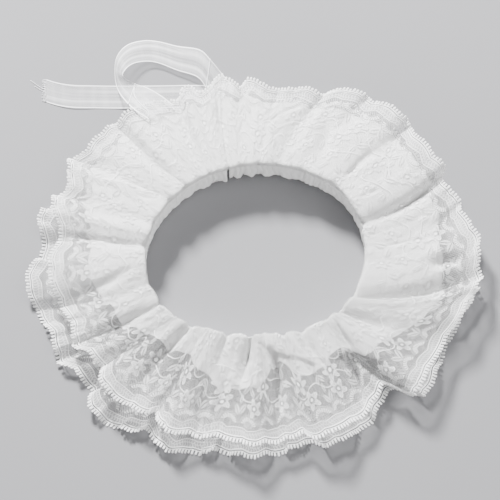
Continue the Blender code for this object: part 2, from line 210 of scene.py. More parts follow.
Fold = namedtuple("Fold", "neck edge height lean start middle end lower_back upper_back lining")
FOLDS = (
    Fold(-19, -10.5, 4, -0.1, 132.5, 127, 121, 3, 0, 0.8),
    Fold(-10.5, -3.2, 5, -0.3, 129.5, 124.5, 121, 5, 0, 0.8),
    Fold(2, 8.4, 7, 0.1, 121.5, 127, 126.5, 6, 0, 0.8),
    Fold(14, 22.6, 8, 0.1, 130, 138.5, 139.5, 8, 0, 0.75),
    Fold(30, 34.5, 10, 0.3, 139.5, 143.5, 144.5, 8, 0, 0.78),
    Fold(52, 47.2, 13, 0.7, 142, 142.5, 146.5, 7, 0, 0.8),
    Fold(79, 65.5, 8, 0.4, 139, 145.5, 147.5, 5, 0, 0.78),
    Fold(96, 77, 12, -0.1, 147.5, 158, 156, 3, 1, 0.68),
    Fold(122, 99, 14, -0.9, 161, 155.5, 151, 2, 0, 0.72),
    Fold(131, 118, 13, 0.9, 151, 157.5, 161, 0, 3, 0.5),
    Fold(139.5, 134.3, 6, 0.3, 137, 141.5, 149, 0, 3, 0.38),
    Fold(154, 148, 14, 0.6, 150.5, 153.5, 153.5, 0, 4, 0.45),
    Fold(164, 163, 6, 0.4, 145, 147.5, 149.5, 0, 4, 0.28),
    Fold(174.5, 173, 13, 0, 150, 154.5, 150, 0, 5, 0.5),
    Fold(182, 189, 6, 0.3, 149.5, 151.5, 154, 0, 7, 0.55),
    Fold(195, 194.8, 11, 0.5, 154.5, 161.5, 156.5, 0, 10, 0.4),
    Fold(206, 208, 8, -0.2, 151, 158.5, 161.5, 0, 13, 0.32),
    Fold(215, 217.5, 11, 0.6, 163, 165, 154, 0, 16, 0.32),
    Fold(224, 228.3, 10, 0.3, 152.5, 153, 160, 0, 13, 0.42),
    Fold(235, 240.7, 10, -0.4, 157.5, 154.5, 155.5, 0, 14, 0.5),
    Fold(247, 252, 14, 0.4, 158.5, 162.5, 151, 0, 17, 0.6),
    Fold(268, 270, 11, 0.9, 147.5, 153.5, 154, 0, 9, 0.66),
    Fold(282, 283.6, 8, 0.6, 141.5, 140.5, 149.5, 1, 0, 0.76),
    Fold(298, 296.9, 9, 0.2, 140, 139, 137.5, 4, 0, 0.8),
    Fold(311, 314, 8, -0.3, 135.5, 136, 133, 4, 0, 0.9),
    Fold(321, 326, 4, 0.1, 131, 127, 124, 4, 0, 0.85),
    Fold(328, 334.5, 3, -0.1, 124.5, 133.5, 131, 6, 0, 0.8),
    Fold(333.5, 341, 4, -0.1, 121.5, 127, 133, 6, 0, 0.8),
)
LAST_FOLD_NECK_END = 341.5
LAST_FOLD_EDGE_END = 350.8

# How deep the crease at the start of each fold is at the neck, half way and at the hem, as a share
# of the fold's height, and how far the fold after it stands above the one before it.
Pleat = namedtuple("Pleat", "neck middle hem step")
PLEATS = (
    Pleat(1, 1, 1, 0),
    Pleat(0.2, 0.1, 0.6, 0.3),
    Pleat(0.4, 0.2, 0.6, -0.4),
    Pleat(0.2, 0.3, 0.8, 0.3),
    Pleat(0.3, 0.1, 0.5, 0.2),
    Pleat(0.4, 0.3, 0.6, 0.4),
    Pleat(0.9, 1.1, 0.9, 1.8),
    Pleat(0.2, 0.1, 0.3, 0.2),
    Pleat(0.9, 0.8, 0.3, -1.8),
    Pleat(0.9, 0.2, 0.3, 0.4),
    Pleat(0.2, 0.2, 0.9, -0.4),
    Pleat(0.9, 0.1, 0.3, 0.3),
    Pleat(1, 0.1, 0.2, -0.3),
    Pleat(-0.15, 0.1, 0.4, -0.2),
    Pleat(2, 0.4, 0.1, 0.3),
    Pleat(0.6, 0, 0.5, 0),
    Pleat(-0.15, 0, 0.5, 0),
    Pleat(1.2, 0.4, 0.2, -0.3),
    Pleat(0.1, 0.2, 0.7, -0.4),
    Pleat(0.8, 0.3, 0.8, 0.4),
    Pleat(0.3, 0.2, 0.8, 0.4),
    Pleat(0.9, 0.4, 0.8, -0.4),
    Pleat(0.3, 0.1, 0.6, 0.3),
    Pleat(0.6, 0.3, 0.7, -0.5),
    Pleat(0.4, 0.3, 0.6, 0.4),
    Pleat(0.2, 0.1, 0.6, -0.3),
    Pleat(0.3, 0.1, 0.6, 0.3),
    Pleat(0.2, 0.1, 0.5, -0.2),
    Pleat(0.2, 0.2, 0.3, 0),
)

Section = namedtuple("Section", "outer_x outer_y outer_z inner_x inner_y inner_z")
LOOP_SECTIONS = (
    Section(24, 59.1, 5.5, 6.9, 63.4, 5.5),
    Section(9, 93, 3.4, -7, 86, 3.4),
    Section(-10.5, 120, 3.4, -26, 110.5, 3.4),
    Section(-21, 133.5, 3.5, -31.5, 116.5, 3.2),
    Section(-31.5, 145, 9, -34.5, 124.5, 4.5),
    Section(-39.5, 154.5, 5, -41, 133.5, 4),
    Section(-55, 158.5, 2, -55, 139, 3),
    Section(-69, 162.5, 1.2, -68, 144.5, 3),
    Section(-80, 163, 1.2, -77, 145.5, 4),
    Section(-91, 159.5, 1.2, -86, 142.5, 7),
    Section(-98, 150.5, 1.4, -91.5, 136.5, 10.5),
    Section(-99.5, 138, 2.2, -93, 130, 13),
    Section(-97.5, 124.5, 4.5, -84.5, 123.5, 15),
    Section(-92, 111.5, 13.5, -76, 119.5, 17.5),
    Section(-84.5, 101.5, 18.5, -66.5, 113.5, 18),
    Section(-75, 94.5, 19.5, -57, 106, 17.5),
)

# Where the loop's edges and folds show as lines. section is counted along the ribbon, and share
# runs from its outer edge to its inner one.
LinePoint = namedtuple("LinePoint", "section share")
LOOP_LINES = (
    (LinePoint(4, 0), LinePoint(4, 0.5), LinePoint(4, 1)),
    (LinePoint(12, 1), LinePoint(12.7, 0.5), LinePoint(13.4, 0)),
    (
        LinePoint(12.2, 0.95),
        LinePoint(12.6, 0.62),
        LinePoint(13.1, 0.4),
        LinePoint(13.8, 0.3),
        LinePoint(14.5, 0.24),
        LinePoint(14.9, 0.06),
    ),
)

# Creases of the upper tier, from one place through a bend to another, in millimetres across and
# back from the middle of the neck. depth is below the cloth round it. step is how far the cloth
# on the left of the line stands above the cloth on its right.
Crease = namedtuple("Crease", "from_x from_y bend_x bend_y to_x to_y width depth step")
UPPER_CREASES = (
    Crease(10.5, 92, 17.5, 99.3, 34.3, 108.4, 1.2, 0.7, -1),
    Crease(46.9, 59.9, 49.7, 82.4, 53.2, 108, 5, 1.3, 0),
    Crease(65.8, 49.8, 74.2, 62.1, 84.7, 71.2, 2.6, 1.2, -1.2),
    Crease(64.4, 51.3, 67.2, 54.6, 70.7, 57.9, 1.2, 1, 0),
    Crease(85.4, 57.2, 88.2, 51.1, 90.3, 43.4, 3.5, 1.3, 0),
    Crease(74.9, 33.9, 80.5, 36.6, 87.5, 40.1, 1.1, 1, -0.7),
    Crease(88.9, -3.4, 105, 0.7, 123.9, 4.8, 1.3, 0.5, -0.7),
    Crease(77, -15.4, 91, -14.5, 105, -18, 2.5, 0.5, 0),
    Crease(122, -15.5, 133, -12, 144.5, -11, 4, 3.2, 0),
    Crease(108, -34, 122, -38, 138, -37, 3, 0.8, 0.6),
    Crease(89.6, -90, 100, -93.4, 110, -102, 1.3, 0.4, -1.8),
    Crease(92, -72, 103, -80, 112, -92, 3.4, 1.3, 0),
    Crease(56.7, -60.4, 60.9, -68.2, 66.5, -76.6, 1.4, 1.4, 1.2),
    Crease(52.5, -86.4, 67.2, -82.3, 89.6, -90.1, 1.3, 0.6, 2.2),
    Crease(65, -83, 70, -97.3, 74.2, -118, 2.9, 4.4, 0),
    Crease(40.6, -77.5, 46.9, -89.4, 52.5, -110.8, 1.8, 0.7, 0.5),
    Crease(27.3, -86.3, 41, -91.5, 47.6, -112, 1.5, 0.6, 2),
    Crease(2.8, -74.6, 11.9, -82.3, 29, -86.6, 1.4, 0.6, 2.2),
    Crease(11.9, -80, 16, -97, 17, -121, 2.3, 4.2, 0),
    Crease(-4.2, -70, -3.5, -78.1, -4.9, -90, 1.8, 2.2, 0),
    Crease(-7, -78, -8.4, -90, -9.8, -102, 4, 1.5, 0),
    Crease(-17.5, -101.4, -7.7, -111.4, 3.5, -105.7, 1.6, 0.5, 1.6),
    Crease(-25.2, -97, -21.7, -108.5, -20.3, -119, 2.6, 1.2, 0),
    Crease(-32.9, -88, -31.5, -113.3, -36.4, -147, 1.3, 0.7, 2.2),
    Crease(-58, -110.6, -46.9, -122.4, -38.5, -120.4, 3, 1, 0),
    Crease(-50, -65, -60.9, -78.2, -75.5, -95, 2.8, 2.4, 1.2),
    Crease(-79, -52, -93.8, -62.3, -111.3, -66.6, 4.6, 1.8, 0),
    Crease(-116.9, -53.8, -124, -55.7, -133, -57, 3.4, 1.6, 0),
    Crease(-86, -21, -101, -29, -120, -38, 3.4, 1.9, 1.8),
    Crease(-84.7, -0.6, -106.4, 3.8, -131, 9.7, 1.5, 2.4, 0.8),
    Crease(-88, 17, -104, 22, -122, 26, 4, 0.8, 0),
    Crease(-75.6, 40.2, -92.4, 48.2, -112, 52, 1.4, 0.8, 2.4),
    Crease(-66.5, 35, -73.5, 33.8, -82, 35, 1.2, 0.7, 0),
    Crease(-58, 49.4, -72.8, 65, -89.5, 87, 3.6, 0.9, -1.8),
    Crease(-44, 66, -50, 82, -58, 100, 3, 0.6, 0.8),
    Crease(-28.5, 121, -26.5, 106, -25, 90, 1.2, 1, -0.9),
    Crease(-24, 97, -23, 90, -21, 82, 2.2, 1, 0),
)

# Small creases near the hem of the lower tier. place is counted in folds and slant is how far the
# crease drifts, start is the share of the frill's depth where it fades in, width is in folds and
# depth is downwards.
HemCrease = namedtuple("HemCrease", "place slant start width depth")
LOWER_CREASES = (
    HemCrease(1.6, 0.1, 0.4, 0.12, 0.3),
    HemCrease(3.4, -0.1, 0.4, 0.09, 0.4),
    HemCrease(5.55, 0.12, 0.3, 0.08, 0.6),
    HemCrease(7.5, -0.08, 0.5, 0.07, 0.6),
    HemCrease(9.45, 0.1, 0.4, 0.09, 0.7),
    HemCrease(11.55, -0.12, 0.4, 0.07, 0.6),
    HemCrease(13.5, 0.08, 0.5, 0.09, 0.7),
    HemCrease(15.55, -0.1, 0.6, 0.07, 0.9),
    HemCrease(16.45, 0.06, 0.65, 0.08, 0.8),
    HemCrease(17.4, 0.1, 0.6, 0.07, 0.9),
    HemCrease(18.55, -0.08, 0.6, 0.08, 0.8),
    HemCrease(19.45, 0.08, 0.65, 0.08, 0.9),
    HemCrease(20.3, 0.05, 0.6, 0.05, 0.9),
    HemCrease(20.68, -0.05, 0.7, 0.06, 0.7),
    HemCrease(21.5, 0.1, 0.6, 0.06, 0.8),
    HemCrease(23.45, -0.1, 0.5, 0.09, 0.4),
    HemCrease(25.5, 0.08, 0.5, 0.12, 0.3),
)


def smooth_through(places, knots, values):
    """A curve through the values at the knots, with no corners."""
    knots = np.asarray(knots, float)
    values = np.asarray(values, float)
    slopes = np.gradient(values, knots, axis=0)
    span = np.clip(np.searchsorted(knots, places, side="right") - 1, 0, len(knots) - 2)
    width = knots[span + 1] - knots[span]
    along = (places - knots[span]) / width
    if values.ndim > 1:
        width = width[:, None]
        along = along[:, None]
    square = along * along
    cube = square * along
    return (
        (2 * cube - 3 * square + 1) * values[span]
        + (cube - 2 * square + along) * width * slopes[span]
        + (3 * square - 2 * cube) * values[span + 1]
        + (cube - square) * width * slopes[span + 1]
    )


def column(table, name):
    return np.array([getattr(row, name) for row in table], float)


def neck_radius(turn):
    turns = column(NECK_LINE, "turn")
    return smooth_through(np.asarray(turn, float), turns, column(NECK_LINE, "radius"))


def turn_at(place, name, last):
    return np.interp(place, np.arange(len(FOLDS) + 1), np.append(column(FOLDS, name), last))


def fold_middle_value(place, name):
    return np.interp(place, np.arange(len(FOLDS)) + 0.5, column(FOLDS, name))


def hem_reach(place):
    start = column(FOLDS, "start")
    end = column(FOLDS, "end")
    knots = [0.0]
    reach = [start[0]]
    for number, fold in enumerate(FOLDS):
        if number > 0:
            knots.append(number)
            reach.append((end[number - 1] + start[number]) / 2)
        knots += [number + CORNER_SHARE, number + 0.5, number + 1 - CORNER_SHARE]
        reach += [fold.start, fold.middle, fold.end]
    knots.append(len(FOLDS))
    reach.append(end[-1])
    return np.interp(place, knots, reach)


def hump(place):
    number = np.clip(np.floor(place).astype(int), 0, len(FOLDS) - 1)
    skew = np.exp(FOLD_SKEW * column(FOLDS, "lean")[number])
    across = np.abs(2 * np.clip(place - number, 0, 1) ** skew - 1)
    return 1 - across**FOLD_ROUNDNESS


FINE_PLACES = np.linspace(0, len(FOLDS), HEM_SAMPLES_PER_FOLD * len(FOLDS) + 1)
FINE_TURNS = np.radians(turn_at(FINE_PLACES, "edge", LAST_FOLD_EDGE_END))
FINE_REACH = hem_reach(FINE_PLACES)
for _ in range(HEM_SMOOTHING):
    FINE_REACH[1:-1] = (FINE_REACH[:-2] + 2 * FINE_REACH[1:-1] + FINE_REACH[2:]) / 4
FINE_RUN = np.concatenate([[0.0], np.cumsum(np.diff(FINE_TURNS) * FINE_REACH[1:])])


def scallop(place):
    """How far the picot edge stands out, repeated along the hem."""
    turn = np.radians(turn_at(place, "edge", LAST_FOLD_EDGE_END))
    along = np.interp(turn, FINE_TURNS, FINE_RUN)
    return SCALLOP_DEPTH * np.abs(np.sin(np.pi * along / SCALLOP_LENGTH))


def ribbon_lift(turn):
    away = np.abs((turn - OPENING_TURN + 180) % 360 - 180)
    ramp = np.clip((LIFT_HALF_WIDTH + LIFT_RAMP - away) / LIFT_RAMP, 0, 1)
    return RIBBON_LIFT * ramp * ramp * (3 - 2 * ramp)


def lower_base(share, turn):
    still_to_fall = np.clip(1 - share / LOWER_FLAT_FROM, 0, 1)
    fall = LOWER_ROOT_RISE * still_to_fall**LOWER_FALL_CURVE
    return LOWER_WALL + fall + ribbon_lift(turn) * share**LIFT_GROWTH_CURVE


def upper_base(share, turn):
    fall = (UPPER_ROOT_HEIGHT - UPPER_EDGE_HEIGHT) * (1 - share) ** UPPER_FALL_CURVE
    return UPPER_EDGE_HEIGHT + fall + ribbon_lift(turn) * share**LIFT_GROWTH_CURVE


def round_neck(radius, angle, height):
    return np.stack([radius * np.sin(angle), radius * np.cos(angle), height], axis=-1)


def turns_at(place, share):
    """The turn round the neck of a place's root, and of the place itself."""
    neck_turn = turn_at(place, "neck", LAST_FOLD_NECK_END)
    edge_turn = turn_at(place, "edge", LAST_FOLD_EDGE_END)
    return neck_turn, neck_turn + (edge_turn - neck_turn) * share


def reach_at(place, back):
    """How far out the hem is. back names the column of how far a tier falls short of it."""
    reach = np.interp(place, FINE_PLACES, FINE_REACH) + scallop(place)
    return reach - fold_middle_value(place, back)


def laid_points(place, share, root, reach, height):
    _, turn = turns_at(place, share)
    radius = root + (reach - root) * share
    rise = height - lower_base(share, turn)
    lean = fold_middle_value(place, "lean") * share * rise / radius
    return round_neck(radius, np.radians(turn) + lean, height)


def hump_height(place, share):
    at_hem = column(FOLDS, "height")
    neck_turns = np.append(column(FOLDS, "neck"), LAST_FOLD_NECK_END)
    widths = np.radians(np.diff(neck_turns)) * neck_radius(neck_turns[:-1])
    at_neck = np.minimum(NECK_HUMP_SHARE * at_hem, NECK_HUMP_STEEPNESS * widths)
    middles = np.arange(len(FOLDS)) + 0.5
    low = np.interp(place, middles, at_neck)
    high = np.interp(place, middles, at_hem)
    return low + (high - low) * share**HUMP_GROWTH_CURVE


def eased(place, first_knot=0.0):
    """Slows down at each knot, so that values drawn straight between knots get no corners there."""
    number = np.floor(place - first_knot)
    part = place - first_knot - number
    return first_knot + number + part * part * (3 - 2 * part)


def pleat_column(place, name):
    return np.interp(eased(place), np.arange(len(PLEATS)), column(PLEATS, name))


def pleat_depth(place, share):
    """How deep the creases between the folds are along their length."""
    neck, middle, hem = (pleat_column(place, name) for name in ("neck", "middle", "hem"))
    inner = neck + (middle - neck) * np.clip(2 * share, 0, 1)
    return inner + (hem - middle) * np.clip(2 * share - 1, 0, 1)


def pleat_step(place, share):
    """Tilts each fold, so that at a crease one side stands above the other."""
    steps = column(PLEATS, "step")
    number = np.clip(np.floor(place).astype(int), 0, len(FOLDS) - 1)
    across = place - number
    tilt = steps[number] * (1 - across) / 2 - steps[number + 1] * across / 2
    edge = np.clip(np.minimum(across, 1 - across) / STEP_SHARE, 0, 1)
    return tilt * edge * np.sin(np.pi * (0.1 + 0.75 * share))


def hem_crease_depth(place, share):
    """Small creases of the lower tier, which fade in towards its hem."""
    depth = np.zeros_like(place)
    for crease in LOWER_CREASES:
        middle = crease.place + crease.slant * (share - crease.start)
        across = np.exp(-(((place - middle) / crease.width) ** 2))
        inside = np.clip((share - crease.start) / (1 - crease.start), 0, 1)
        depth = depth + crease.depth * across * np.sin(np.pi / 2 * inside)
    return depth


def near_line(x, y, crease):
    """Distance to a crease's line, above 0 on its left, and how far along it the place is."""
    knots = np.array([
        (crease.from_x, crease.from_y), (crease.bend_x, crease.bend_y), (crease.to_x, crease.to_y)
    ])
    nearest = np.full_like(x, np.inf)
    away = np.zeros_like(x)
    along = np.zeros_like(x)
    for number in range(2):
        start = knots[number]
        reach = knots[number + 1] - start
        length = math.hypot(*reach)
        ahead = reach / length
        forward = (x - start[0]) * ahead[0] + (y - start[1]) * ahead[1]
        sideways = (y - start[1]) * ahead[0] - (x - start[0]) * ahead[1]
        inside = np.clip(forward / length, 0, 1)
        distance = np.hypot(sideways, forward - inside * length)
        closer = distance < nearest
        nearest = np.where(closer, distance, nearest)
        away = np.where(closer, np.where(sideways < 0, -distance, distance), away)
        along = np.where(closer, (number + inside) / 2, along)
    return away, along


def crease_height(x, y):
    """The listed creases: a soft trough along each line, and a shelf on its higher side."""
    height = np.zeros_like(x)
    for crease in UPPER_CREASES:
        away, along = near_line(x, y, crease)
        across = away / crease.width
        fade = np.sin(np.pi * (0.04 + 0.92 * along)) ** 0.7
        height = height - CREASE_STRENGTH * crease.depth * np.exp(-across * across) * fade
        side = across if crease.step > 0 else -across
        rise = 1 / (1 + np.exp(-np.clip(SHELF_STEEPNESS * side, -30, 30)))
        fall = np.exp(-np.maximum(side, 0) * crease.width / SHELF_REACH)
        height = height + abs(crease.step) * rise * fall * fade
    return height


def soft_wave(place, slow, fast, phase):
    """An uneven ripple along the frill, the same each time."""
    size = 0.65 + 0.35 * np.sin(slow * place + phase)
    return size * np.sin(fast * place + 1.7 * np.sin(slow * 1.3 * place + phase))


def gather_depth(place, share):
    """Fine gathers where the frill is drawn up onto the band."""
    near_neck = np.exp(-share / GATHER_REACH)
    return GATHER_DEPTH * near_neck * soft_wave(place, 2.1, 2 * math.pi * GATHERS_PER_FOLD, 0.6)


def hem_flutter(place, share, phase):
    """Small waves in the free edge of the lace."""
    near_hem = np.clip((share - FLUTTER_FROM) / (1 - FLUTTER_FROM), 0, 1) ** 1.5
    return near_hem * (
        SLOW_FLUTTER * soft_wave(place, 1.7, 2 * math.pi * 1.6, phase)
        + QUICK_FLUTTER * soft_wave(place, 2.9, 2 * math.pi * 4.3, phase + 2.0)
    )


def lower_points(place, share):
    """The upper face of the lower tier. share is 0 at the neck and 1 at the hem."""
    neck_turn, turn = turns_at(place, share)
    raised = np.clip((hump(place) - LOWER_FLAT_SHARE) / (1 - LOWER_FLAT_SHARE), 0, 1)
    raised = raised * raised * (3 - 2 * raised)
    height = lower_base(share, turn) + LOWER_HUMP_SHARE * hump_height(place, share) * raised
    detail = 0.7 * hem_flutter(place, share, 0.9) - hem_crease_depth(place, share)
    height = height + (detail + gather_depth(place, share)) * (0.25 + 0.75 * raised)
    root = neck_radius(neck_turn) + LOWER_ROOT_OFFSET
    return laid_points(place, share, root, reach_at(place, "lower_back"), height)


def upper_points(place, share):
    """The face between the lining and the upper tier, tucked into the band at its root."""
    neck_turn, turn = turns_at(place, share)
    depth = pleat_depth(place, share)
    sharp = np.clip((depth - SOFT_UP_TO) / (SHARP_FROM - SOFT_UP_TO), 0, 1)
    valley = np.cos(np.pi * place) ** 4
    rounded = 1 - depth * (sharp * (1 - hump(place)) + (1 - sharp) * valley)
    height = upper_base(share, turn) + hump_height(place, share) * rounded
    height = height + pleat_step(place, share)
    height = height + gather_depth(place, share) + hem_flutter(place, share, 0.2)
    bulge = (UPPER_ROOT_OFFSET + UPPER_ROOT_BULGE) * rounded
    root = neck_radius(neck_turn) + UPPER_ROOT_OFFSET - bulge
    tuck = np.clip(1 - share / TUCK_SHARE, 0, 1) ** 2
    root = root + (neck_radius(neck_turn) + BAND_WALL / 2 - root) * tuck
    height = height - (TUCK_DEPTH + hump_height(place, share) * rounded) * tuck
    reach = reach_at(place, "upper_back")
    laid = laid_points(place, share, root, reach, height)
    height = height + crease_height(laid[..., 0], laid[..., 1])
    return laid_points(place, share, root, reach, height)


def unit(vectors):
    return vectors / np.maximum(np.linalg.norm(vectors, axis=-1, keepdims=True), 1e-9)


def evened(directions, times):
    """Directions of length 1, each drawn towards those beside it along the cloth."""
    directions = unit(directions)
    for _ in range(times):
        directions[1:-1] = directions[:-2] + 2 * directions[1:-1] + directions[2:]
        directions = unit(directions)
    return directions


def grid_normals(points):
    return evened(np.cross(np.gradient(points, axis=0), np.gradient(points, axis=1)), 2)


def add_object(name, data):
    made = bpy.data.objects.new(name, data)
    bpy.context.scene.collection.objects.link(made)
    return made


def attach(slot, *pieces):
    for piece in pieces:
        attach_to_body(piece, "root")


def link_mesh(name, vertices, faces, uvs, material):
    """A smooth mesh of quads or triangles. vertices are in millimetres about the neck."""
    mesh = bpy.data.meshes.new(name)
    mesh.from_pydata(((vertices + MIDDLE_OF_NECK) * MM).tolist(), [], faces)
    if uvs is not None:
        layer = mesh.uv_layers.new(name="cloth")
        corners = np.empty(len(mesh.loops), int)
        mesh.loops.foreach_get("vertex_index", corners)
        layer.data.foreach_set("uv", uvs[corners].astype(np.float32).ravel())
    mesh.shade_smooth()
    mesh.materials.append(material)
    return add_object(name, mesh)


def grid_faces(rows, columns):
    a = (np.arange(rows - 1)[:, None] * columns + np.arange(columns - 1)[None, :]).ravel()
    return np.stack([a, a + columns, a + columns + 1, a + 1], axis=1).tolist()


def sheet_piece(name, points, uvs, material):
    rows, columns = points.shape[:2]
    return link_mesh(
        name, points.reshape(-1, 3), grid_faces(rows, columns), uvs.reshape(-1, 2), material
    )


def tube_piece(name, runs, thickness, sides, material):
    """Round threads along runs of points. Each run is an array of points."""
    vertices = []
    faces = []
    first = 0
    turns = np.linspace(0, 2 * np.pi, sides, endpoint=False)
    for run in runs:
        ahead = unit(np.gradient(run, axis=0))
        up = np.tile([0.0, 0.0, 1.0], (len(run), 1))
        upright = np.abs((ahead * up).sum(axis=1)) > 0.95
        up[upright] = [1.0, 0.0, 0.0]
        side = unit(np.cross(ahead, up))
        up = np.cross(side, ahead)
        ring = side[:, None, :] * np.cos(turns)[None, :, None]
        ring = ring + up[:, None, :] * np.sin(turns)[None, :, None]
        vertices.append((run[:, None, :] + ring * thickness).reshape(-1, 3))
        for row in range(len(run) - 1):
            for column in range(sides):
                a = first + row * sides + column
                b = first + row * sides + (column + 1) % sides
                faces.append((a, b, b + sides, a + sides))
        faces.append(tuple(first + column for column in range(sides))[::-1])
        last = first + (len(run) - 1) * sides
        faces.append(tuple(last + column for column in range(sides)))
        first += len(run) * sides
    return link_mesh(name, np.concatenate(vertices), faces, None, material)


class Field:
    """A number that differs over a surface, written as arithmetic on the material's nodes."""

    def __init__(self, tree, socket):
        self.tree = tree
        self.socket = socket

    def node(self, operation, *others):
        made = self.tree.nodes.new("ShaderNodeMath")
        made.operation = operation
        self.tree.links.new(self.socket, made.inputs[0])
        for number, other in enumerate(others, 1):
            if isinstance(other, Field):
                self.tree.links.new(other.socket, made.inputs[number])
            else:
                made.inputs[number].default_value = other
        return Field(self.tree, made.outputs[0])

    def __add__(self, other):
        return self.node("ADD", other)

    def __sub__(self, other):
        return self.node("SUBTRACT", other)

    def __mul__(self, other):
        return self.node("MULTIPLY", other)

    def __truediv__(self, other):
        return self.node("DIVIDE", other)

    def flipped(self):
        return self * -1.0 + 1.0

    def size(self):
        return self.node("ABSOLUTE")

    def wave(self, length):
        return (self * (2 * math.pi / length)).node("SINE")

    def part_of(self, length):
        """Distance from the middle of each repeat."""
        return ((self / length).node("FRACT") - 0.5) * length

    def larger(self, other):
        return self.node("MAXIMUM", other)

    def smaller(self, other):
        return self.node("MINIMUM", other)

    def step(self, low, high):
        """0 below low and 1 above high, with a soft change between them."""
        made = self.tree.nodes.new("ShaderNodeMapRange")
        made.interpolation_type = "SMOOTHSTEP"
        self.tree.links.new(self.socket, made.inputs[0])
        made.inputs[1].default_value = low
        made.inputs[2].default_value = high
        return Field(self.tree, made.outputs[0])


def new_material(name, colour, roughness, sheen=0.0):
    material = bpy.data.materials.new(name)
    material.use_nodes = True
    shader = material.node_tree.nodes["Principled BSDF"]
    shader.inputs["Base Color"].default_value = (*colour, 1.0)
    shader.inputs["Roughness"].default_value = roughness
    shader.inputs["Sheen Weight"].default_value = sheen
    shader.inputs["Sheen Roughness"].default_value = 0.5
    shader.inputs["Specular IOR Level"].default_value = 0.25
    return material, material.node_tree, shader


def cloth_place(tree):
    """Distances in millimetres along and across the cloth as it was cut."""
    place = tree.nodes.new("ShaderNodeUVMap")
    place.uv_map = "cloth"
    parts = tree.nodes.new("ShaderNodeSeparateXYZ")
    tree.links.new(place.outputs[0], parts.inputs[0])
    return Field(tree, parts.outputs[0]) * 100.0, Field(tree, parts.outputs[1]) * 100.0


def noise(tree, scale, detail=3.0, stretch=None):
    """Noise through space or, where a stretch is given, over the cloth as it was cut."""
    made = tree.nodes.new("ShaderNodeTexNoise")
    made.inputs["Scale"].default_value = scale
    made.inputs["Detail"].default_value = detail
    if stretch:
        place = tree.nodes.new("ShaderNodeUVMap")
        place.uv_map = "cloth"
        mapping = tree.nodes.new("ShaderNodeMapping")
        mapping.inputs["Scale"].default_value = stretch
        tree.links.new(place.outputs[0], mapping.inputs[0])
        vector = mapping.outputs[0]
    else:
        vector = tree.nodes.new("ShaderNodeTexCoord").outputs["Object"]
    tree.links.new(vector, made.inputs["Vector"])
    return Field(tree, made.outputs[0])


def tint(tree, shader, amount, dark, light):
    """Base colour between two colours."""
    mix = tree.nodes.new("ShaderNodeMix")
    mix.data_type = "RGBA"
    tree.links.new(amount.socket, mix.inputs["Factor"])
    mix.inputs[6].default_value = (*dark, 1.0)
    mix.inputs[7].default_value = (*light, 1.0)
    tree.links.new(mix.outputs[2], shader.inputs["Base Color"])


def relief(tree, shader, height, distance, strength):
    bump = tree.nodes.new("ShaderNodeBump")
    bump.inputs["Strength"].default_value = strength
    bump.inputs["Distance"].default_value = distance
    tree.links.new(height.socket, bump.inputs["Height"])
    tree.links.new(bump.outputs[0], shader.inputs["Normal"])


def largest(fields):
    found, *others = fields
    for other in others:
        found = found.larger(other)
    return found


def flower(along, inward, repeat, offset, row, radius, petals):
    """Petals with veins, an outline, and an open ring round the middle."""
    x = (along + offset).part_of(repeat)
    y = inward - row
    distance = (x * x + y * y).node("SQRT")
    angle = y.node("ARCTAN2", x)
    edge = ((angle * float(petals)).node("COSINE") * 0.26 + 0.74) * radius
    inside = (edge - distance).step(0.0, 0.5)
    outline = (edge - distance).size().step(0.75, 0.35)
    veins = (angle * (petals * 3.0)).node("SINE").size().step(0.25, 0.6)
    veins = veins.larger((distance / radius).step(0.3, 0.2))
    ring = (distance / radius - 0.26).size().step(0.09, 0.05).flipped()
    eyelets = (angle * float(petals)).node("COSINE").step(-0.2, -0.7)
    eyelets = eyelets * (distance / radius - 0.48).size().step(0.14, 0.09)
    return (inside * veins * ring * eyelets.flipped()).larger(outline)


def leaf(along, inward, repeat, offset, row, length, width, tilt):
    """A pointed leaf with a line down the middle."""
    x = (along + offset).part_of(repeat)
    y = inward - row
    forward = x * math.cos(tilt) + y * math.sin(tilt)
    across = (y * math.cos(tilt) - x * math.sin(tilt)).size()
    room = ((forward / length) * (forward / length)).flipped() * width
    inside = (room - across).step(0.0, 0.4)
    vein = across.step(0.15, 0.45)
    ribs = (forward + across).wave(1.5).size().step(0.1, 0.5)
    return inside * vein * ribs.larger((room - across).step(0.8, 0.5))


def stem(along, inward, repeat, row, swing):
    return (inward - row - along.wave(repeat) * swing).size().step(0.6, 0.3)


def lace_motifs(along, inward):
    flowers = [flower(along, inward, *row) for row in LACE_FLOWERS]
    leaves = [leaf(along, inward, *row) for row in LACE_LEAVES]
    return largest(flowers + leaves + [stem(along, inward, *row) for row in LACE_STEMS])


def lace_fans(along, inward):
    """A fan of rays over each scallop, and the arch above it."""
    x = (along + SCALLOP_LENGTH / 2).part_of(SCALLOP_LENGTH)
    y = inward - FAN_ROW
    distance = (x * x + y * y).node("SQRT")
    rays = (y.node("ARCTAN2", x) * 12.0).node("SINE").size().step(0.35, 0.65)
    fan = rays * (distance - FAN_RADIUS).size().step(1.9, 1.4) * y.step(1.0, 2.0)
    arch = (distance - ARCH_RADIUS).size().step(0.45, 0.2) * y.step(1.0, 2.0) * 0.7
    return fan, arch


def lace_border(along, inward):
    """Where the close border is, the net in it, and the cord at its inner edge."""
    swell = (along * (math.pi / SCALLOP_LENGTH)).node("SINE").size()
    inside = inward - (swell * BORDER_SWELL + BORDER_ROW)
    net = (along.wave(1.5).size() * inward.wave(1.5).size()).step(0.75, 0.25) * 0.45 + 0.15
    strokes = (along + inside.wave(6.0) * 0.8).wave(4.2).size().step(0.75, 0.9) * 0.8
    inner_cord = (inside + 2.4).size().step(0.45, 0.2) * 0.8
    edge_cord = inside.size().step(0.55, 0.25)
    return inside.step(0.1, -0.1), largest([net, strokes, inner_cord]), edge_cord


